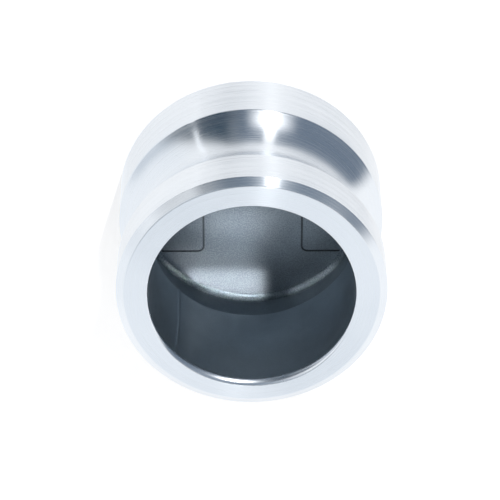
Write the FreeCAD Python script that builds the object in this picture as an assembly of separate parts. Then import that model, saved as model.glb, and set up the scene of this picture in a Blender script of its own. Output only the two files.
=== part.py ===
"""A cam and groove dust plug: one stainless casting, open at its nose and closed at its back end.

The plug stands on its closed end, with Z along its axis and out of the mouth. Millimetres.
"""

import FreeCAD
import Part
import math
import os

from FreeCAD import Vector

# Outside, turned
outer_radius = 26.7
total_length = 37.8
groove_centre_height = 20.1
groove_radius = 11.1
groove_depth = 3.9
front_chamfer_radial = 1.6
front_chamfer_axial = 1.1
base_edge_break = 0.4
groove_edge_break = 0.2

# Hollow, left as cast: a bore with a lip, and a wider chamber between the shoulder and the end wall
nose_wall = 6.5
collar_wall = 4.0
end_wall_thickness = 5.5
bore_depth = 22.5
shoulder_length = 3.2
mouth_round = 1.5
lip_round = 0.6
chamber_corner_round = 1.2

# Fine sunk line around each of the two side panels on the inner end wall
panel_edge_plus_x = 9.5
panel_edge_minus_x = 10.3
panel_half_height = 11.0
panel_corner_radius = 1.4
panel_line_width = 0.4
panel_line_depth = 0.3
panel_line_end_gap = 0.2

# Worked out from the sizes above
bore_radius = outer_radius - nose_wall
chamber_radius = outer_radius - collar_wall
lip_height = total_length - bore_depth
shoulder_height = lip_height - shoulder_length
groove_axis_radius = outer_radius - groove_depth + groove_radius
flat_end_radius = chamber_radius - chamber_corner_round

# Two lengths that differ by less than this are the same
same_length = 1e-6
full_turn = 360


def section_point(radius, height):
    """Return the point of the half section at a radius and a height."""
    return Vector(radius, 0, height)


def groove_half_width(radius):
    """Return half the groove's width where its wall is at a radius."""
    return math.sqrt(groove_radius ** 2 - (groove_axis_radius - radius) ** 2)


def round_of(before, corner, after, radius):
    """Return where a round of a corner starts, its middle, and where it ends."""
    back = (before - corner).normalize()
    onward = (after - corner).normalize()
    half_angle = back.getAngle(onward) / 2
    middle_direction = (back + onward).normalize()
    centre = corner + middle_direction * (radius / math.sin(half_angle))
    tangent_length = radius / math.tan(half_angle)
    return corner + back * tangent_length, centre - middle_direction * radius, corner + onward * tangent_length


def outline(corners):
    """Return the edges through (point, round) corners, open at the end; the first and last stay sharp."""
    edges = []
    place = corners[0][0]
    for i in range(1, len(corners) - 1):
        corner, radius = corners[i]
        if radius == 0:
            edges.append(Part.LineSegment(place, corner).toShape())
            place = corner
            continue
        start, middle, end = round_of(corners[i - 1][0], corner, corners[i + 1][0], radius)
        edges.append(Part.LineSegment(place, start).toShape())
        edges.append(Part.Arc(start, middle, end).toShape())
        place = end
    edges.append(Part.LineSegment(place, corners[-1][0]).toShape())
    return edges


def half_section():
    """The plug's half section: nose, front face and hollow, then closed end and collar, joined by the groove."""
    edge_radius = outer_radius - groove_edge_break
    broken_half_width = groove_half_width(edge_radius)
    sharp_half_width = groove_half_width(outer_radius) + groove_edge_break
    groove_front = section_point(edge_radius, groove_centre_height + broken_half_width)
    groove_root = section_point(outer_radius - groove_depth, groove_centre_height)
    groove_back = section_point(edge_radius, groove_centre_height - broken_half_width)
    corners = [
        (groove_front, 0),
        (section_point(outer_radius, groove_centre_height + sharp_half_width), 0),
        (section_point(outer_radius, total_length - front_chamfer_axial), 0),
        (section_point(outer_radius - front_chamfer_radial, total_length), 0),
        (section_point(bore_radius, total_length), mouth_round),
        (section_point(bore_radius, lip_height), lip_round),
        (section_point(chamber_radius, shoulder_height), 0),
        (section_point(chamber_radius, end_wall_thickness), chamber_corner_round),
        (section_point(0, end_wall_thickness), 0),
        (section_point(0, 0), 0),
        (section_point(outer_radius - base_edge_break, 0), 0),
        (section_point(outer_radius, base_edge_break), 0),
        (section_point(outer_radius, groove_centre_height - sharp_half_width), 0),
        (groove_back, 0),
    ]
    groove = Part.Arc(groove_back, groove_root, groove_front).toShape()
    return Part.Face(Part.Wire(outline(corners) + [groove]))


def panel_block(inset, direction, inner_edge):
    """A thin block over one side panel, smaller by the inset, with its two inner corners rounded."""
    half_height = panel_half_height - inset
    near = inner_edge + inset
    base = end_wall_thickness - panel_line_depth
    block = Part.makeBox(chamber_radius, 2 * half_height, panel_line_depth, Vector(near, -half_height, base))
    inner_uprights = [
        edge for edge in block.Edges
        if abs(edge.BoundBox.XMax - near) < same_length and edge.BoundBox.YLength < same_length
    ]
    block = block.makeFillet(panel_corner_radius - inset, inner_uprights)
    if direction < 0:
        block = block.mirror(Vector(0, 0, 0), Vector(1, 0, 0))
    return block


def panel_line(direction, inner_edge):
    """The fine sunk line round one side panel, open where it runs out at the chamber's wall."""
    ring = panel_block(0, direction, inner_edge).cut(panel_block(panel_line_width, direction, inner_edge))
    base = Vector(0, 0, end_wall_thickness - panel_line_depth)
    reach = Part.makeCylinder(flat_end_radius - panel_line_end_gap, panel_line_depth, base)
    return ring.common(reach)


def plug_body():
    """The finished plug, one casting."""
    body = half_section().revolve(Vector(0, 0, 0), Vector(0, 0, 1), full_turn)
    for direction, inner_edge in ((1, panel_edge_plus_x), (-1, panel_edge_minus_x)):
        body = body.cut(panel_line(direction, inner_edge))
    return body


os.makedirs("parts", exist_ok=True)
plug_body().exportStep("parts/plug_body.step")
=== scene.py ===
"""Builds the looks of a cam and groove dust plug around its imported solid.

The plug is one stainless casting: turned outside, blasted and left as cast inside. It stands on its
closed end, with Z along its axis and out of its mouth. Metres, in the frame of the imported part.
"""

import logging
import math
from dataclasses import dataclass
from enum import Enum
from typing import ClassVar

import bmesh
import bpy
from bmesh.types import BMEdge, BMesh, BMFace, BMVert
from bpy.types import Material, Node, NodeSocket, NodeTree, Object
from mathutils import Matrix, Vector


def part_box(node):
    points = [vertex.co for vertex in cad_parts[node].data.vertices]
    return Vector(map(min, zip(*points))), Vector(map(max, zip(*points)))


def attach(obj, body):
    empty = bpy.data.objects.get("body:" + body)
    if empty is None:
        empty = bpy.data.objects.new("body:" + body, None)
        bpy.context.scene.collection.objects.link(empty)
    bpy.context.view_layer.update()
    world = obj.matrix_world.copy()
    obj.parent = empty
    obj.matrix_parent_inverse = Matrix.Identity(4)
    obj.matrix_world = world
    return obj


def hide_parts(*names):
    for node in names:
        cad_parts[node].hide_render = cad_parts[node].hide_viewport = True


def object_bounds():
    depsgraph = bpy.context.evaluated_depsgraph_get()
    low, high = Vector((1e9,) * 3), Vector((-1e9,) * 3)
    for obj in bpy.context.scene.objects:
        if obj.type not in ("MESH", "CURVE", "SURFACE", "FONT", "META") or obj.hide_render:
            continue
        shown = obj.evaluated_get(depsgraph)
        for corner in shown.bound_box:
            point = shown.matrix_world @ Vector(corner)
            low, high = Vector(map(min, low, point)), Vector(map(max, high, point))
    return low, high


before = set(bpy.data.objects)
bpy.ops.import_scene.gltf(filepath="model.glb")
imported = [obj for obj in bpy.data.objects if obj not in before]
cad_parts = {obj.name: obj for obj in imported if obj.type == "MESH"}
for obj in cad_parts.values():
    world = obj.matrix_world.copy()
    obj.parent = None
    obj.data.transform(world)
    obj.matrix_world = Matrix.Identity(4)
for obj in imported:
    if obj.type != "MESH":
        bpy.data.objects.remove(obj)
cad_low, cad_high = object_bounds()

Colour = tuple[float, float, float, float]
Place = tuple[float, float, float]
Span = tuple[float, float]

CAD_NODE = "plug_body"
BODY = "root"
PIECE = "plug_casting"

MM = 0.001
AXIS = Vector((0.0, 0.0, 1.0))
ORIGIN = Vector((0.0, 0.0, 0.0))
NO_SHIFT: Place = (0.0, 0.0, 0.0)
ACROSS_AXIS: Place = (1.0, 1.0, 0.0)
WHITE: Colour = (1.0, 1.0, 1.0, 1.0)

# How near a vertex is to the ring it is on, and how near two vertices are that are one
NEAR = 0.005 * MM
SAME_PLACE = 0.0001 * MM

# How far the piece stays inside the solid's box, so that rounding never carries it past
BOX_CLEARANCE = 0.001 * MM

# What the camera and the lamps are aimed at
END_WALL_THICKNESS = 5.5 * MM
RIM_HEIGHT = 6.0 * MM
VIEWED_POINT: Place = (0.23 * MM, 1.83 * MM, 18.9 * MM)
FRONT_FACE_MIDDLE: Place = (0.0, 0.0, cad_high[2])

# Where a Mix node keeps its two colours and their mixture
FIRST_COLOUR, SECOND_COLOUR, MIXTURE = 6, 7, 2

log = logging.getLogger("dust_plug")


class Surface(Enum):
    """The finishes of the casting, as the order of its material slots."""

    TURNED = 0
    DEBURRED = 1
    BORE = 2
    CHAMBER = 3
    CORNER = 4
    END_WALL = 5
    SUNK_LINE = 6


class Side(Enum):
    """The side of the plug that a panel of the inner end wall lies on, as a sign along X."""

    PLUS_X = 1
    MINUS_X = -1


def apart(first: float, second: float) -> float:
    """The angle between two directions round the axis, from 0 to 180 degrees."""
    return abs((first - second + 180.0) % 360.0 - 180.0)


def fade(distance: float, full_within: float, gone_beyond: float) -> float:
    """A share that falls smoothly from 1 to 0.

    Args:
        distance: how far away from the middle.
        full_within: the distance up to which the share is 1.
        gone_beyond: the distance from which it is 0.

    Returns:
        The share.
    """
    part = min(1.0, max(0.0, (gone_beyond - distance) / (gone_beyond - full_within)))
    return part * part * (3.0 - 2.0 * part)


@dataclass(frozen=True)
class Waves:
    """A noise: its waves per metre, how many finer octaves it has, and how strong those are."""

    per_metre: float
    octaves: float = 3.0
    octave_strength: float = 0.55


class Sheet:
    """One node sheet, with short ways to add nodes and join them."""

    def __init__(self, tree: NodeTree) -> None:
        """Take a node tree and clear it.

        Args:
            tree: the node tree of a material or of the world.
        """
        self.tree = tree
        tree.nodes.clear()

    def add(self, kind: str, **settings: object) -> Node:
        """Add one node.

        Args:
            kind: the node's type.
            settings: its own settings, by name.

        Returns:
            The new node.
        """
        node = self.tree.nodes.new(kind)
        for name, value in settings.items():
            setattr(node, name, value)
        return node

    def feed(self, target: NodeSocket, value: object) -> None:
        """Join a socket to an input, or set the input to a constant.

        Args:
            target: the input socket.
            value: an output socket, a number, a vector or a colour.
        """
        if isinstance(value, NodeSocket):
            self.tree.links.new(value, target)
        else:
            target.default_value = value

    def maths(self, operation: str, *values: object) -> NodeSocket:
        """Work out one number.

        Args:
            operation: the name of the sum, as the Math node has it.
            values: sockets or numbers, in order.

        Returns:
            The socket that holds the result.
        """
        node = self.add("ShaderNodeMath", operation=operation)
        for target, value in zip(node.inputs, values):
            self.feed(target, value)
        return node.outputs[0]

    def weigh(
        self, first: NodeSocket, first_weight: float, second: NodeSocket, second_weight: float
    ) -> NodeSocket:
        """Add two numbers, each times its own weight.

        Args:
            first: the first number.
            first_weight: its weight.
            second: the second number.
            second_weight: its weight.

        Returns:
            The socket that holds the sum.
        """
        weighted_first = self.maths("MULTIPLY", first, first_weight)
        return self.maths("ADD", weighted_first, self.maths("MULTIPLY", second, second_weight))

    def ramp(self, value: object, between: Span, results: Span = (0.0, 1.0)) -> NodeSocket:
        """Carry a number smoothly from one range to another.

        Args:
            value: the number to carry over.
            between: where the change starts, and where it ends.
            results: the result before the change, and beyond it.

        Returns:
            The socket that holds the result.
        """
        node = self.add("ShaderNodeMapRange", interpolation_type="SMOOTHSTEP")
        names = ("Value", "From Min", "From Max", "To Min", "To Max")
        for name, item in zip(names, (value, *between, *results)):
            self.feed(node.inputs[name], item)
        return node.outputs["Result"]

    def noise(self, place: NodeSocket, waves: Waves) -> NodeSocket:
        """A noise from 0 to 1.

        Args:
            place: where on the surface, in metres.
            waves: how fine the noise is.

        Returns:
            The socket that holds the noise.
        """
        node = self.add("ShaderNodeTexNoise")
        self.feed(node.inputs["Vector"], place)
        self.feed(node.inputs["Scale"], waves.per_metre)
        self.feed(node.inputs["Detail"], waves.octaves)
        self.feed(node.inputs["Roughness"], waves.octave_strength)
        return node.outputs["Fac"]

    def split(self, vector: NodeSocket) -> tuple[NodeSocket, ...]:
        """Take a vector apart.

        Args:
            vector: the socket that holds it.

        Returns:
            The sockets that hold its X, Y and Z.
        """
        node = self.add("ShaderNodeSeparateXYZ")
        self.feed(node.inputs[0], vector)
        return tuple(node.outputs)

    def blend(self, share: object, first: object, second: object) -> NodeSocket:
        """Mix two colours.

        Args:
            share: how much of the second.
            first: the colour at share 0.
            second: the colour at share 1.

        Returns:
            The socket that holds the mixed colour.
        """
        node = self.add("ShaderNodeMix", data_type="RGBA")
        self.feed(node.inputs["Factor"], share)
        self.feed(node.inputs[FIRST_COLOUR], first)
        self.feed(node.inputs[SECOND_COLOUR], second)
        return node.outputs[MIXTURE]

    def bump(
        self, height: NodeSocket, strength: float, depth: float, under: NodeSocket | None = None
    ) -> NodeSocket:
        """Turn a height into a change of the surface's normal.

        Args:
            height: the height, from 0 to 1.
            strength: how much of it shows.
            depth: the height in metres that 1 stands for.
            under: a normal that is already changed, or None.

        Returns:
            The socket that holds the normal.
        """
        node = self.add("ShaderNodeBump")
        self.feed(node.inputs["Strength"], strength)
        self.feed(node.inputs["Distance"], depth)
        self.feed(node.inputs["Height"], height)
        if under is not None:
            self.feed(node.inputs["Normal"], under)
        return node.outputs["Normal"]

    def seen(self) -> NodeSocket:
        """Tell the rays that show things from those that light them.

        Returns:
            The socket that holds 1 for rays from the camera, straight or by a mirror or glass, else 0.
        """
        paths = self.add("ShaderNodeLightPath").outputs
        mirrored = self.maths("MAXIMUM", paths["Is Glossy Ray"], paths["Is Transmission Ray"])
        return self.maths("MAXIMUM", mirrored, paths["Is Camera Ray"])


def new_finish(name: str) -> tuple[Material, Sheet, NodeSocket]:
    """Start a finish.

    Args:
        name: the material's name.

    Returns:
        The material, its node sheet and the socket with the place on the piece in metres.
    """
    material = bpy.data.materials.new(name)
    material.use_nodes = True
    sheet = Sheet(material.node_tree)
    return material, sheet, sheet.add("ShaderNodeTexCoord").outputs["Object"]


@dataclass(frozen=True)
class Steel:
    """What the steel finishes share: two colours and a range of roughness, in uneven patches."""

    colour_change: ClassVar[Span] = (0.35, 0.65)
    roughness_change: ClassVar[Span] = (0.3, 0.7)

    name: str
    pale: Colour
    dull: Colour
    smoothest: float
    roughest: float

    def start(self) -> tuple[Material, Sheet, Node, NodeSocket]:
        """Start the finish.

        Returns:
            The material, its node sheet, its metal shader and the socket with the place in metres.
        """
        material, sheet, place = new_finish(self.name)
        metal = sheet.add("ShaderNodeBsdfPrincipled")
        metal.inputs["Metallic"].default_value = 1.0
        sheet.feed(sheet.add("ShaderNodeOutputMaterial").inputs["Surface"], metal.outputs[0])
        return material, sheet, metal, place

    def colour(self, sheet: Sheet, uneven: NodeSocket) -> NodeSocket:
        """Mix the two colours by an uneven share."""
        return sheet.blend(sheet.ramp(uneven, self.colour_change), self.pale, self.dull)

    def roughness(self, sheet: Sheet, uneven: NodeSocket) -> NodeSocket:
        """Spread the range of roughness over an uneven share."""
        return sheet.ramp(uneven, self.roughness_change, (self.smoothest, self.roughest))


@dataclass(frozen=True)
class TurnedSteel(Steel):
    """Bright stainless steel with the fine rings that a lathe tool leaves around the axis."""

    name: str = "turned_steel"
    pale: Colour = (0.9, 0.94, 0.99, 1.0)
    dull: Colour = (0.87, 0.915, 0.97, 1.0)
    smoothest: float = 0.19
    roughest: float = 0.23
    anisotropy: float = 0.94
    across_the_rings: float = 0.25
    rings: Waves = Waves(15000.0, octaves=2.0)
    ring_strength: float = 0.35
    ring_depth: float = 0.0015 * MM
    coarse_rings: Span = (0.54, 0.68)
    coarse_ring_extra: float = 0.14
    bands: Waves = Waves(1400.0, octaves=2.0, octave_strength=0.5)
    band_share: float = 0.15
    patches: Waves = Waves(55.0)

    def material(self) -> Material:
        """Make the finish.

        Returns:
            The new material.
        """
        material, sheet, metal, place = self.start()
        flat = sheet.add("ShaderNodeVectorMath", operation="MULTIPLY")
        sheet.feed(flat.inputs[0], place)
        sheet.feed(flat.inputs[1], ACROSS_AXIS)
        radius = sheet.add("ShaderNodeVectorMath", operation="LENGTH")
        sheet.feed(radius.inputs[0], flat.outputs[0])
        _, _, height = sheet.split(place)
        along = sheet.add("ShaderNodeCombineXYZ")
        sheet.feed(along.inputs["X"], radius.outputs["Value"])
        sheet.feed(along.inputs["Z"], height)
        rings = sheet.noise(along.outputs[0], self.rings)
        bands = sheet.noise(along.outputs[0], self.bands)
        patches = sheet.noise(place, self.patches)
        uneven = sheet.weigh(bands, self.band_share, patches, 1.0 - self.band_share)
        coarse = sheet.ramp(rings, self.coarse_rings, (0.0, self.coarse_ring_extra))
        sheet.feed(metal.inputs["Base Color"], self.colour(sheet, uneven))
        sheet.feed(metal.inputs["Roughness"], sheet.maths("ADD", self.roughness(sheet, uneven), coarse))
        metal.inputs["Anisotropic"].default_value = self.anisotropy
        metal.inputs["Anisotropic Rotation"].default_value = self.across_the_rings
        tangent = sheet.add("ShaderNodeTangent", direction_type="RADIAL", axis="Z")
        sheet.feed(metal.inputs["Tangent"], tangent.outputs[0])
        sheet.feed(metal.inputs["Normal"], sheet.bump(rings, self.ring_strength, self.ring_depth))
        return material


@dataclass(frozen=True)
class CastSteel(Steel):
    """Stainless steel as cast and blasted: a fine grain, grey and satin."""

    grain_strength: float
    grain_share: float = 0.4
    grain: Waves = Waves(3800.0, octave_strength=0.6)
    grain_depth: float = 0.02 * MM
    lumps: Waves = Waves(450.0, octave_strength=0.5)
    lump_depth: float = 0.05 * MM
    lump_to_grain: float = 0.5
    patches: Waves = Waves(90.0)

    def material(self) -> Material:
        """Make the finish.

        Returns:
            The new material.
        """
        material, sheet, metal, place = self.start()
        grain = sheet.noise(place, self.grain)
        lumps = sheet.noise(place, self.lumps)
        patches = sheet.noise(place, self.patches)
        uneven = sheet.weigh(patches, 1.0 - self.grain_share, grain, self.grain_share)
        sheet.feed(metal.inputs["Base Color"], self.colour(sheet, uneven))
        sheet.feed(metal.inputs["Roughness"], self.roughness(sheet, uneven))
        normal = sheet.bump(lumps, self.lump_to_grain * self.grain_strength, self.lump_depth)
        sheet.feed(metal.inputs["Normal"], sheet.bump(grain, self.grain_strength, self.grain_depth, normal))
        return material


FINISHES: dict[Surface, TurnedSteel | CastSteel] = {
    Surface.TURNED: TurnedSteel(),
    Surface.DEBURRED: TurnedSteel(
        "deburred_steel", smoothest=0.22, roughest=0.28, anisotropy=0.0, coarse_ring_extra=0.0
    ),
    Surface.BORE: CastSteel(
        "cast_wall_steel", pale=(0.53, 0.605, 0.665, 1.0), dull=(0.45, 0.52, 0.575, 1.0),
        smoothest=0.34, roughest=0.42, grain_strength=0.5
    ),
    # Cast steel painted darker than the bore on the chamber's wall under the lip: partly painted shade for
    # the shadowed band there
    Surface.CHAMBER: CastSteel(
        "chamber_steel_painted_shade", pale=(0.46, 0.52, 0.56, 1.0), dull=(0.36, 0.41, 0.45, 1.0),
        smoothest=0.45, roughest=0.55, grain_strength=0.4
    ),
    Surface.CORNER: CastSteel(
        "speckled_steel", pale=(0.36, 0.425, 0.47, 1.0), dull=(0.215, 0.255, 0.285, 1.0),
        smoothest=0.7, roughest=0.85, grain_strength=1.0, grain_share=0.9
    ),
    Surface.END_WALL: CastSteel(
        "blasted_steel", pale=(0.4, 0.45, 0.495, 1.0), dull=(0.25, 0.285, 0.322, 1.0),
        smoothest=0.42, roughest=0.52, grain_strength=1.0, grain_share=0.75
    ),
    # The sunk lines are painted near black: painted shade standing in for the shade deep in the narrow lines,
    # with the cast grain kept
    Surface.SUNK_LINE: CastSteel(
        "line_steel_painted_shade", pale=(0.16, 0.175, 0.19, 1.0), dull=(0.1, 0.11, 0.12, 1.0),
        smoothest=0.5, roughest=0.6, grain_strength=0.5
    ),
}


@dataclass(frozen=True)
class PaleFloor:
    """A matt white floor that keeps a faint shadow and still shows white."""

    colour: Colour = (0.86, 0.86, 0.86, 1.0)
    glow: float = 0.3
    smoothest: float = 0.8
    roughest: float = 1.0
    mottle: Waves = Waves(40.0, octaves=2.0, octave_strength=0.5)

    def material(self) -> Material:
        """Make the finish.

        Returns:
            The new material.
        """
        material, sheet, place = new_finish("pale_floor")
        mottle = sheet.noise(place, self.mottle)
        paint = sheet.add("ShaderNodeBsdfDiffuse")
        sheet.feed(paint.inputs["Color"], self.colour)
        sheet.feed(paint.inputs["Roughness"], sheet.ramp(mottle, (0.0, 1.0), (self.smoothest, self.roughest)))
        light = sheet.add("ShaderNodeEmission")
        sheet.feed(light.inputs["Strength"], sheet.maths("MULTIPLY", sheet.seen(), self.glow))
        both = sheet.add("ShaderNodeAddShader")
        sheet.feed(both.inputs[0], paint.outputs[0])
        sheet.feed(both.inputs[1], light.outputs[0])
        sheet.feed(sheet.add("ShaderNodeOutputMaterial").inputs["Surface"], both.outputs[0])
        return material


@dataclass(frozen=True)
class PanelLine:
    """The fine sunk line round one side panel of the inner end wall, open at the chamber's wall."""

    side: Side
    inner_edge: float
    half_height: float = 11.0 * MM
    corner_radius: float = 1.4 * MM
    width: float = 0.4 * MM
    depth: float = 0.3 * MM
    corner_facets: int = 6

    def lay_out(self, bm: BMesh, reach: float, height: float) -> tuple[BMFace, list[BMEdge]]:
        """Lay the line's outline on the end wall, as one flat face.

        Args:
            bm: the mesh to add it to.
            reach: the radius at which the line runs out.
            height: the height of the end wall's face.

        Returns:
            The face, and its edges.
        """
        sign = self.side.value
        corners = []
        for inset, turn in ((0.0, 1), (self.width, -1)):
            near = self.inner_edge + inset
            half = self.half_height - inset
            far = math.sqrt(reach ** 2 - half ** 2)
            corners += [(x, turn * y) for x, y in ((far, half), (near, half), (near, -half), (far, -half))]
        others = set(bm.faces)
        verts = [bmesh.ops.create_vert(bm, co=(sign * x, y, height))["vert"][0] for x, y in corners]
        bm.faces.new(verts if sign > 0 else list(reversed(verts)))
        outer_and_inner = ((verts[1:3], self.corner_radius), (verts[5:7], self.corner_radius - self.width))
        for geom, radius in outer_and_inner:
            bmesh.ops.bevel(
                bm, geom=geom, offset=radius, offset_type="OFFSET", affect="VERTICES",
                segments=self.corner_facets, profile=0.5, material=-1
            )
        face = next(item for item in bm.faces if item not in others)
        return face, list(face.edges)


@dataclass
class PlugCasting:
    """The plug's one casting, from the same sizes as its solid, with its fine edges and uneven hollow."""

    # Outside, turned
    outer_radius: float
    total_length: float
    groove_centre_height: float = 20.1 * MM
    groove_radius: float = 11.1 * MM
    groove_depth: float = 3.9 * MM
    groove_edge_break: float = 0.25 * MM
    front_chamfer_radial: float = 1.6 * MM
    front_chamfer_axial: float = 1.1 * MM
    base_edge_break: float = 0.4 * MM
    fine_edge_break: float = 0.07 * MM
    front_edge_break: float = 0.22 * MM

    # Hollow, left as cast
    nose_wall: float = 6.5 * MM
    collar_wall: float = 4.0 * MM
    end_wall_thickness: float = END_WALL_THICKNESS
    bore_depth: float = 22.5 * MM
    shoulder_length: float = 3.2 * MM
    mouth_round: float = 1.5 * MM
    lip_round: float = 0.6 * MM
    shoulder_round: float = 0.3 * MM
    chamber_corner_round: float = 1.2 * MM
    panel_line_end_gap: float = 0.2 * MM
    panels: tuple[PanelLine, ...] = (
        PanelLine(Side.PLUS_X, 9.5 * MM),
        PanelLine(Side.MINUS_X, 10.3 * MM),
    )

    # Unevenness of the hollow, with places and half widths in degrees round the axis from +X towards +Y
    least_mouth_flare: float = 0.25 * MM
    most_mouth_flare: float = 0.7 * MM
    mouth_flare_depth: float = 12.0 * MM
    least_mouth_edge: float = 0.35 * MM
    most_mouth_edge: float = 1.15 * MM
    mouth_edge_steepness: float = 1.05
    mouth_edge_flatness: float = 0.3
    widest_mouth_edge_at: float = 83.0
    mouth_edge_full_within: float = 25.0
    mouth_edge_least_beyond: float = 85.0
    lip_bulge: float = 1.0 * MM
    lip_bulge_at: float = 180.0
    lip_bulge_half_width: float = 65.0
    seam_at: float = 43.5
    seam_height: float = 0.17 * MM
    seam_half_width: float = 0.9

    # How finely the forms are divided, and from which angle on an edge is shaded as sharp
    sharp_angle: float = 32.0
    turn_steps: int = 480
    groove_steps: int = 40
    bore_cuts: int = 14
    mouth_facets: int = 12
    lip_facets: int = 4
    corner_facets: int = 8
    small_round_facets: int = 3
    fine_break_facets: int = 2

    @property
    def bore_radius(self) -> float:
        """The radius of the bore behind the mouth."""
        return self.outer_radius - self.nose_wall

    @property
    def chamber_radius(self) -> float:
        """The radius of the chamber behind the lip."""
        return self.outer_radius - self.collar_wall

    @property
    def lip_height(self) -> float:
        """The height of the bore's inner edge."""
        return self.total_length - self.bore_depth

    @property
    def shoulder_height(self) -> float:
        """The height at which the shoulder behind the lip meets the chamber's wall."""
        return self.lip_height - self.shoulder_length

    @property
    def flat_end_radius(self) -> float:
        """The radius at which the flat of the inner end wall gives way to the chamber's corner."""
        return self.chamber_radius - self.chamber_corner_round

    @property
    def groove_axis_radius(self) -> float:
        """How far the centre of the groove's section is from the plug's axis."""
        return self.outer_radius - self.groove_depth + self.groove_radius

    @property
    def groove_half_width(self) -> float:
        """Half the groove's width at the outside."""
        return math.sqrt(self.groove_radius ** 2 - (self.groove_axis_radius - self.outer_radius) ** 2)

    def _trace_section(self, bm: BMesh) -> None:
        """Lay the half section as a chain of edges, from the closed end round to the inner end wall.

        Args:
            bm: the mesh to lay it in.
        """
        back = [
            (self.outer_radius - self.base_edge_break, 0.0),
            (self.outer_radius, self.base_edge_break),
            (self.outer_radius, self.groove_centre_height - self.groove_half_width),
        ]
        front = [
            (self.outer_radius, self.total_length - self.front_chamfer_axial),
            (self.outer_radius - self.front_chamfer_radial, self.total_length),
            (self.bore_radius, self.total_length),
            (self.bore_radius, self.lip_height),
            (self.chamber_radius, self.shoulder_height),
            (self.chamber_radius, self.end_wall_thickness),
            (self.flat_end_radius - self.panel_line_end_gap / 2, self.end_wall_thickness),
        ]
        last = self._lay_chain(bm, None, back)
        swept = bmesh.ops.spin(
            bm, geom=[last], cent=(self.groove_axis_radius, 0.0, self.groove_centre_height),
            axis=(0.0, 1.0, 0.0), dvec=NO_SHIFT, steps=self.groove_steps, use_merge=False,
            angle=2.0 * math.asin(self.groove_half_width / self.groove_radius)
        )
        last = next(item for item in swept["geom_last"] if isinstance(item, BMVert))
        self._lay_chain(bm, last, front)
        bore = [
            edge for edge in bm.edges
            if all(abs(vert.co.x - self.bore_radius) < NEAR for vert in edge.verts)
        ]
        bmesh.ops.subdivide_edges(bm, edges=bore, cuts=self.bore_cuts)

    @staticmethod
    def _lay_chain(bm: BMesh, last: BMVert | None, places: list[tuple[float, float]]) -> BMVert:
        """Lay vertices one after another and join each to the one before it.

        Args:
            bm: the mesh to lay them in.
            last: the vertex that the chain goes on from, or None.
            places: radius and height of each vertex.

        Returns:
            The last vertex of the chain.
        """
        for radius, height in places:
            vert = bmesh.ops.create_vert(bm, co=(radius, 0.0, height))["vert"][0]
            if last is not None:
                bm.edges.new((last, vert))
            last = vert
        return last

    def _ring(self, bm: BMesh, radius: float, height: float) -> list[BMEdge]:
        """Find the edges of one ring.

        Args:
            bm: the mesh to look in.
            radius: the ring's radius.
            height: its height.

        Returns:
            Its edges.
        """
        def is_on(vert: BMVert) -> bool:
            """Whether a vertex is on the ring."""
            return abs(vert.co.z - height) < NEAR and abs(vert.co.xy.length - radius) < NEAR

        return [edge for edge in bm.edges if is_on(edge.verts[0]) and is_on(edge.verts[1])]

    def _round_edges(self, bm: BMesh) -> None:
        """Round and break all the edges that run round the plug.

        Args:
            bm: the mesh to work on.
        """
        shoulder_turn = math.atan2(self.chamber_radius - self.bore_radius, self.shoulder_length)
        lip_size = self.lip_round * math.tan(shoulder_turn / 2)
        groove_front = self.groove_centre_height + self.groove_half_width
        groove_back = self.groove_centre_height - self.groove_half_width
        chamfer_height = self.total_length - self.front_chamfer_axial
        face_radius = self.outer_radius - self.front_chamfer_radial
        base_radius = self.outer_radius - self.base_edge_break
        for radius, height, size, facets in (
            (self.bore_radius, self.total_length, self.mouth_round, self.mouth_facets),
            (self.bore_radius, self.lip_height, lip_size, self.lip_facets),
            (self.chamber_radius, self.shoulder_height, self.shoulder_round, self.small_round_facets),
            (self.chamber_radius, self.end_wall_thickness, self.chamber_corner_round, self.corner_facets),
            (self.outer_radius, chamfer_height, self.fine_edge_break, self.fine_break_facets),
            (face_radius, self.total_length, self.front_edge_break, self.small_round_facets),
            (self.outer_radius, groove_front, self.groove_edge_break, self.small_round_facets),
            (self.outer_radius, groove_back, self.groove_edge_break, self.small_round_facets),
            (self.outer_radius, self.base_edge_break, self.fine_edge_break, self.fine_break_facets),
            (base_radius, 0.0, self.fine_edge_break, self.fine_break_facets),
        ):
            bmesh.ops.bevel(
                bm, geom=self._ring(bm, radius, height), offset=size, offset_type="OFFSET",
                affect="EDGES", segments=facets, profile=0.5, material=-1
            )

    def _close_ends(self, bm: BMesh) -> None:
        """Fill the closed end, and the inner end wall round its two panel lines, which are sunk into it.

        Args:
            bm: the mesh to work on.
        """
        bmesh.ops.contextual_create(
            bm, geom=[edge for edge in bm.edges if edge.is_boundary and edge.verts[0].co.z < NEAR]
        )
        reach = self.flat_end_radius - self.panel_line_end_gap
        rims = [edge for edge in bm.edges if edge.is_boundary]
        floors = []
        for panel in self.panels:
            face, edges = panel.lay_out(bm, reach, self.end_wall_thickness)
            floors.append((face, panel.depth))
            rims += edges
        bmesh.ops.triangle_fill(bm, use_beauty=True, use_dissolve=False, edges=rims, normal=AXIS)
        for face, depth in floors:
            sunk = bmesh.ops.extrude_face_region(bm, geom=[face])
            moved = [item for item in sunk["geom"] if isinstance(item, BMVert)]
            bmesh.ops.translate(bm, verts=moved, vec=-depth * AXIS)
            if face.is_valid:
                bmesh.ops.delete(bm, geom=[face], context="FACES_ONLY")

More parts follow.
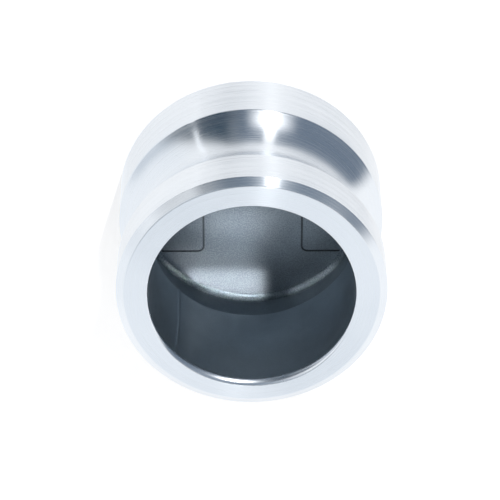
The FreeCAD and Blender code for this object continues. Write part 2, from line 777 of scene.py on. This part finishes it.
    def _surface_at(self, radius: float, height: float) -> Surface:
        """Tell which surface of the even casting a place is on.

        Args:
            radius: the place's radius.
            height: its height.

        Returns:
            The surface.
        """
        if radius > self.chamber_radius + NEAR or height < NEAR:
            return Surface.TURNED
        if height < self.end_wall_thickness - NEAR:
            return Surface.SUNK_LINE
        if height < self.end_wall_thickness + NEAR:
            return Surface.END_WALL
        if height < self.end_wall_thickness + self.chamber_corner_round:
            return Surface.CORNER
        if height < self.lip_height - self.lip_round:
            return Surface.CHAMBER
        if height < self.total_length - self.mouth_round:
            return Surface.BORE
        if radius < self.bore_radius + self.mouth_round and height < self.total_length - NEAR / 2:
            return Surface.DEBURRED
        return Surface.TURNED

    def _mark_surfaces(self, bm: BMesh) -> None:
        """Give each face the finish of its surface.

        Args:
            bm: the mesh to work on.
        """
        for face in bm.faces:
            radius = sum(vert.co.xy.length for vert in face.verts) / len(face.verts)
            face.material_index = self._surface_at(radius, face.calc_center_median().z).value
            face.smooth = True

    def _cast_unevenly(self, bm: BMesh) -> None:
        """Give the hollow its uneven mouth, its bulging lip and its seam.

        Args:
            bm: the mesh to work on.
        """
        mouth_edge = self.bore_radius + self.mouth_round + NEAR
        for vert in bm.verts:
            radius = vert.co.xy.length
            depth = self.total_length - vert.co.z
            if vert.co.z < self.shoulder_height + NEAR or radius > self.chamber_radius:
                continue
            turn = math.degrees(math.atan2(vert.co.y, vert.co.x))
            if depth < self.mouth_round + NEAR:
                if radius > mouth_edge:
                    continue
                new_radius, vert.co.z = self._worn_mouth(turn, radius, depth)
            else:
                bulge = self.lip_bulge * fade(apart(turn, self.lip_bulge_at), 0.0, self.lip_bulge_half_width)
                bulge *= min(1.0, depth / self.bore_depth) ** 2
                bulge *= min(1.0, (vert.co.z - self.shoulder_height) / self.shoulder_length)
                flare = self._mouth_wear(turn)[0] * fade(depth, 0.0, self.mouth_flare_depth)
                seam = self.seam_height * fade(apart(turn, self.seam_at), 0.0, self.seam_half_width)
                new_radius = radius + bulge + flare - seam
            vert.co.x *= new_radius / radius
            vert.co.y *= new_radius / radius

    def _worn_mouth(self, turn: float, radius: float, depth: float) -> tuple[float, float]:
        """Carry a point of the even mouth round over to the uneven one.

        Args:
            turn: where it is round the axis, in degrees.
            radius: its radius.
            depth: its depth under the front face.

        Returns:
            Its new radius and its new height.
        """
        outward = min(1.0, max(0.0, (radius - self.bore_radius) / self.mouth_round))
        inward = min(1.0, max(0.0, depth / self.mouth_round))
        along = math.acos(1.0 - outward) / (math.pi / 2.0)
        outward += self.mouth_edge_flatness * (along - outward)
        inward += self.mouth_edge_flatness * (1.0 - along - inward)
        flare, width = self._mouth_wear(turn)
        new_depth = self.mouth_edge_steepness * width * inward
        return self.bore_radius + flare + width * outward, self.total_length - new_depth

    def _mouth_wear(self, turn: float) -> tuple[float, float]:
        """Work out how uneven the mouth is at a place round the axis.

        Args:
            turn: the place, in degrees.

        Returns:
            How far the bore opens out there, and how wide the mouth's round is.
        """
        away = apart(turn, self.widest_mouth_edge_at)
        fullness = fade(away, self.mouth_edge_full_within, self.mouth_edge_least_beyond)
        flare = self.least_mouth_flare + fullness * (self.most_mouth_flare - self.least_mouth_flare)
        width = self.least_mouth_edge + fullness * (self.most_mouth_edge - self.least_mouth_edge)
        return flare, width

    def build(self) -> Object:
        """Build the casting.

        Returns:
            The finished piece, in place.
        """
        bm = bmesh.new()
        self._trace_section(bm)
        bmesh.ops.spin(
            bm, geom=bm.verts[:] + bm.edges[:], cent=ORIGIN, axis=AXIS, dvec=NO_SHIFT,
            angle=math.tau, steps=self.turn_steps, use_merge=True
        )
        bmesh.ops.remove_doubles(bm, verts=bm.verts[:], dist=SAME_PLACE)
        self._round_edges(bm)
        bmesh.ops.remove_doubles(bm, verts=bm.verts[:], dist=SAME_PLACE)
        self._close_ends(bm)
        bmesh.ops.recalc_face_normals(bm, faces=bm.faces[:])
        self._mark_surfaces(bm)
        self._cast_unevenly(bm)
        mesh = bpy.data.meshes.new("bare_casting")
        bm.to_mesh(mesh)
        bm.free()
        piece = bpy.data.objects.new(PIECE, mesh)
        bpy.context.scene.collection.objects.link(piece)
        return piece

    def dress(self, piece: Object, finishes: dict[Surface, TurnedSteel | CastSteel]) -> None:
        """Give the piece its finishes and its shading.

        Args:
            piece: the casting.
            finishes: the finish of each of its surfaces.
        """
        bare = piece.data
        for surface in Surface:
            bare.materials.append(finishes[surface].material())
        bare.set_sharp_from_angle(angle=math.radians(self.sharp_angle))
        weighted = piece.modifiers.new("flat faces", "WEIGHTED_NORMAL")
        weighted.mode = "FACE_AREA"
        weighted.keep_sharp = True
        depsgraph = bpy.context.evaluated_depsgraph_get()
        shaded = bpy.data.meshes.new_from_object(piece.evaluated_get(depsgraph))
        piece.modifiers.clear()
        piece.data = shaded
        shaded.name = PIECE
        bpy.data.meshes.remove(bare)


@dataclass(frozen=True)
class Zone:
    """A part of the studio's surroundings that is darker or brighter than the rest, seen from the plug.

    Azimuth is measured from -Y towards -X, in degrees, and elevation from the horizon. The zone's start
    leans by start_lean degrees of azimuth for each degree of elevation.
    """

    name: str
    start: float
    end: float
    lowest: float
    highest: float
    start_blur: float
    end_blur: float
    edge_blur: float
    shade: Colour
    start_lean: float = 0.0

    def lay(self, sheet: Sheet, way: NodeSocket, colour: object) -> NodeSocket:
        """Shade the surroundings in this zone.

        Args:
            sheet: the world's node sheet.
            way: the direction, as a vector of length 1.
            colour: what is there without this zone.

        Returns:
            The socket with the surroundings' colour.
        """
        across, ahead, up = sheet.split(way)
        middle = math.radians((self.start + self.end) / 2.0)
        half_width = (self.end - self.start) / 2.0
        facing = sheet.weigh(across, -math.sin(middle), ahead, -math.cos(middle))
        sideways = sheet.weigh(across, -math.cos(middle), ahead, math.sin(middle))
        turn = sheet.maths("DEGREES", sheet.maths("ARCTAN2", sideways, facing))
        elevation = sheet.maths("DEGREES", sheet.maths("ARCSINE", up))
        leaning = sheet.maths("SUBTRACT", turn, sheet.maths("MULTIPLY", elevation, self.start_lean))
        share = None
        for angle, edge, blur, results in (
            (leaning, -half_width, self.start_blur, (0.0, 1.0)),
            (turn, half_width, self.end_blur, (1.0, 0.0)),
            (elevation, self.lowest, self.edge_blur, (0.0, 1.0)),
            (elevation, self.highest, self.edge_blur, (1.0, 0.0)),
        ):
            bound = sheet.ramp(angle, (edge - blur, edge + blur), results)
            share = bound if share is None else sheet.maths("MULTIPLY", share, bound)
        shaded = sheet.blend(share, colour, self.shade)
        shaded.node.label = self.name
        return shaded


@dataclass(frozen=True)
class Lamp:
    """A flat rectangular lamp, placed by the direction in which it is seen from what it is aimed at.

    The direction is measured as a Zone's is. A lamp that is direct_only lights what it reaches and
    nothing by way of other surfaces.
    """

    name: str
    azimuth: float
    elevation: float
    distance: float
    aim: Place
    width: float
    height: float
    power: float
    spread: float = 180.0
    direct_only: bool = True

    def hang(self) -> Object:
        """Hang the lamp.

        Returns:
            The lamp.
        """
        data = bpy.data.lights.new(self.name, "AREA")
        data.shape = "RECTANGLE"
        data.size = self.width
        data.size_y = self.height
        data.spread = math.radians(self.spread)
        data.energy = self.power
        if self.direct_only:
            data.cycles.max_bounces = 0
        turn = math.radians(self.azimuth)
        rise = math.radians(self.elevation)
        way = Vector((-math.sin(turn) * math.cos(rise), -math.cos(turn) * math.cos(rise), math.sin(rise)))
        lamp = bpy.data.objects.new(self.name, data)
        bpy.context.scene.collection.objects.link(lamp)
        lamp.location = Vector(self.aim) + way * self.distance
        lamp.rotation_euler = (-way).to_track_quat("-Z", "Y").to_euler()
        lamp.visible_camera = False
        return lamp


KEY_LAMP = Lamp(
    "key_lamp", azimuth=14.5, elevation=28.0, distance=900.0 * MM, aim=VIEWED_POINT,
    width=18.0 * MM, height=200.0 * MM, power=3.0, direct_only=False
)
FACE_LAMP = Lamp(
    "face_lamp", azimuth=146.0, elevation=83.5, distance=300.0 * MM, aim=FRONT_FACE_MIDDLE,
    width=5.0 * MM, height=8.0 * MM, power=0.0095
)
HOLLOW_LAMPS = (
    Lamp(
        "hollow_beam", azimuth=0.0, elevation=80.0, distance=50.0 * MM,
        aim=(5.25 * MM, 18.8 * MM, END_WALL_THICKNESS), width=15.3 * MM, height=6.0 * MM,
        power=0.00096, spread=6.0
    ),
    Lamp(
        "rim_beam", azimuth=2.0, elevation=50.0, distance=70.0 * MM,
        aim=(4.0 * MM, 21.4 * MM, RIM_HEIGHT), width=13.0 * MM, height=2.4 * MM,
        power=0.0001, spread=2.9
    ),
    Lamp(
        "right_rim_beam", azimuth=-37.0, elevation=50.0, distance=70.0 * MM,
        aim=(-13.5 * MM, 17.9 * MM, RIM_HEIGHT), width=12.0 * MM, height=1.0 * MM,
        power=0.00004, spread=2.5
    ),
    Lamp(
        "left_rim_beam", azimuth=43.0, elevation=50.0, distance=70.0 * MM,
        aim=(15.2 * MM, 16.1 * MM, RIM_HEIGHT), width=7.0 * MM, height=1.0 * MM,
        power=0.00002, spread=2.5
    ),
    Lamp(
        "hollow_glow", azimuth=180.0, elevation=86.0, distance=50.0 * MM,
        aim=(3.2 * MM, 4.8 * MM, END_WALL_THICKNESS), width=13.0 * MM, height=9.0 * MM,
        power=0.000152, spread=13.0
    ),
    Lamp(
        "low_glow", azimuth=0.0, elevation=86.0, distance=50.0 * MM,
        aim=(6.9 * MM, 13.4 * MM, END_WALL_THICKNESS), width=15.5 * MM, height=5.0 * MM,
        power=0.000185, spread=11.0
    ),
)
ZONES = (
    Zone(
        "pale_left", start=-130.0, end=-52.0, lowest=-40.0, highest=35.0,
        start_blur=12.0, end_blur=12.0, edge_blur=8.0, shade=(0.93, 0.945, 0.96, 1.0)
    ),
    Zone(
        "dark_right", start=-14.0, end=93.5, lowest=-37.0, highest=50.0,
        start_blur=9.0, end_blur=6.0, edge_blur=7.0, shade=(0.15, 0.19, 0.245, 1.0)
    ),
    Zone(
        "grey_strip_left", start=-97.0, end=-53.0, lowest=10.0, highest=26.0,
        start_blur=10.0, end_blur=10.0, edge_blur=6.0, shade=(0.42, 0.48, 0.55, 1.0)
    ),
    Zone(
        "dark_front_left", start=-46.0, end=-9.5, lowest=-43.0, highest=38.0,
        start_blur=11.0, end_blur=11.0, edge_blur=6.0, shade=(0.035, 0.065, 0.095, 1.0), start_lean=-0.7
    ),
    Zone(
        "darkest_front_left", start=-42.0, end=-9.5, lowest=22.0, highest=51.0,
        start_blur=6.0, end_blur=11.0, edge_blur=5.0, shade=(0.025, 0.045, 0.07, 1.0)
    ),
    Zone(
        "dark_high_front", start=-30.0, end=72.0, lowest=48.0, highest=78.0,
        start_blur=12.0, end_blur=10.0, edge_blur=4.0, shade=(0.16, 0.21, 0.27, 1.0)
    ),
    Zone(
        "grey_high_left", start=-80.0, end=-30.0, lowest=60.0, highest=80.0,
        start_blur=6.0, end_blur=6.0, edge_blur=4.0, shade=(0.35, 0.4, 0.45, 1.0)
    ),
    Zone(
        "pale_behind", start=105.0, end=255.0, lowest=30.0, highest=80.0,
        start_blur=20.0, end_blur=20.0, edge_blur=10.0, shade=(0.85, 0.88, 0.91, 1.0)
    ),
    Zone(
        "grey_top_left", start=-153.0, end=-90.0, lowest=56.0, highest=120.0,
        start_blur=8.0, end_blur=8.0, edge_blur=6.0, shade=(0.28, 0.33, 0.38, 1.0)
    ),
    Zone(
        "dark_top", start=-153.0, end=60.0, lowest=78.0, highest=120.0,
        start_blur=8.0, end_blur=15.0, edge_blur=5.0, shade=(0.1, 0.13, 0.17, 1.0)
    ),
    Zone(
        "bright_round_key_lamp", start=1.5, end=28.0, lowest=5.0, highest=38.0,
        start_blur=7.0, end_blur=8.0, edge_blur=8.0, shade=(1.35, 1.35, 1.35, 1.0)
    ),
    Zone(
        "bright_under_key_lamp", start=10.5, end=18.5, lowest=-36.0, highest=15.0,
        start_blur=2.5, end_blur=2.5, edge_blur=10.0, shade=(1.05, 1.05, 1.05, 1.0)
    ),
    Zone(
        "bright_tick_left", start=-41.3, end=-38.7, lowest=-45.0, highest=19.0,
        start_blur=1.2, end_blur=1.2, edge_blur=5.0, shade=(1.4, 1.4, 1.4, 1.0)
    ),
)


@dataclass
class Studio:
    """A pale floor, one soft lamp, small lamps for glints and the hollow, shaded surroundings, a camera."""

    floor_half_width: float = 1.2
    lamps: tuple[Lamp, ...] = (KEY_LAMP, FACE_LAMP, *HOLLOW_LAMPS)
    zones: tuple[Zone, ...] = ZONES
    ambient: Colour = (0.9, 0.9, 0.9, 1.0)
    camera_place: Place = (3.372 * MM, -351.001 * MM, 557.487 * MM)
    camera_aim: Place = VIEWED_POINT
    camera_right: Place = (-0.99998, 0.0, 0.005834)
    lens: float = 230.4

    def lay_floor(self, finish: PaleFloor) -> Object:
        """Lay the floor.

        Args:
            finish: the floor's finish.

        Returns:
            The floor.
        """
        bm = bmesh.new()
        bmesh.ops.create_grid(bm, x_segments=1, y_segments=1, size=self.floor_half_width)
        mesh = bpy.data.meshes.new("floor")
        bm.to_mesh(mesh)
        bm.free()
        mesh.materials.append(finish.material())
        floor = bpy.data.objects.new("floor", mesh)
        bpy.context.scene.collection.objects.link(floor)
        floor.visible_glossy = False
        return floor

    def paint_surroundings(self) -> None:
        """Make the surroundings: white, with the darker and brighter zones for what reflects them."""
        world = bpy.data.worlds.new("studio")
        bpy.context.scene.world = world
        world.use_nodes = True
        sheet = Sheet(world.node_tree)
        way = sheet.add("ShaderNodeTexCoord").outputs["Generated"]
        colour: object = WHITE
        for zone in self.zones:
            colour = zone.lay(sheet, way, colour)
        from_camera = sheet.add("ShaderNodeLightPath").outputs["Is Camera Ray"]
        shown = sheet.blend(from_camera, colour, WHITE)
        light = sheet.add("ShaderNodeBackground")
        sheet.feed(light.inputs["Color"], sheet.blend(sheet.seen(), self.ambient, shown))
        sheet.feed(sheet.add("ShaderNodeOutputWorld").inputs["Surface"], light.outputs[0])

    def place_camera(self) -> None:
        """Place the camera at the photograph's viewing angle."""
        data = bpy.data.cameras.new("camera")
        data.lens = self.lens
        camera = bpy.data.objects.new("camera", data)
        bpy.context.scene.collection.objects.link(camera)
        place = Vector(self.camera_place)
        level = Vector(self.camera_right)
        back = (place - Vector(self.camera_aim)).normalized()
        right = (level - back * level.dot(back)).normalized()
        turn = Matrix((right, back.cross(right), back)).transposed().to_4x4()
        camera.matrix_world = Matrix.Translation(place) @ turn
        bpy.context.scene.camera = camera


def main() -> None:
    """Build the plug, dress it, and set the studio round it."""
    logging.basicConfig(level=logging.INFO, format="%(name)s: %(message)s")
    low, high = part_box(CAD_NODE)
    outer_radius = min(high.x, high.y, -low.x, -low.y) - BOX_CLEARANCE
    casting = PlugCasting(outer_radius=outer_radius, total_length=high.z)
    piece = casting.build()
    casting.dress(piece, FINISHES)
    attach(piece, BODY)
    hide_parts(CAD_NODE)
    log.info("%s has %d faces", piece.name, len(piece.data.polygons))
    studio = Studio()
    floor = studio.lay_floor(PaleFloor())
    log.info("%s is laid, %.1f m wide", floor.name, 2.0 * studio.floor_half_width)
    for lamp in studio.lamps:
        log.info("%s is hung", lamp.hang().name)
    studio.paint_surroundings()
    studio.place_camera()
    bpy.context.scene.view_settings.view_transform = "Standard"


if __name__ == "__main__":
    main()
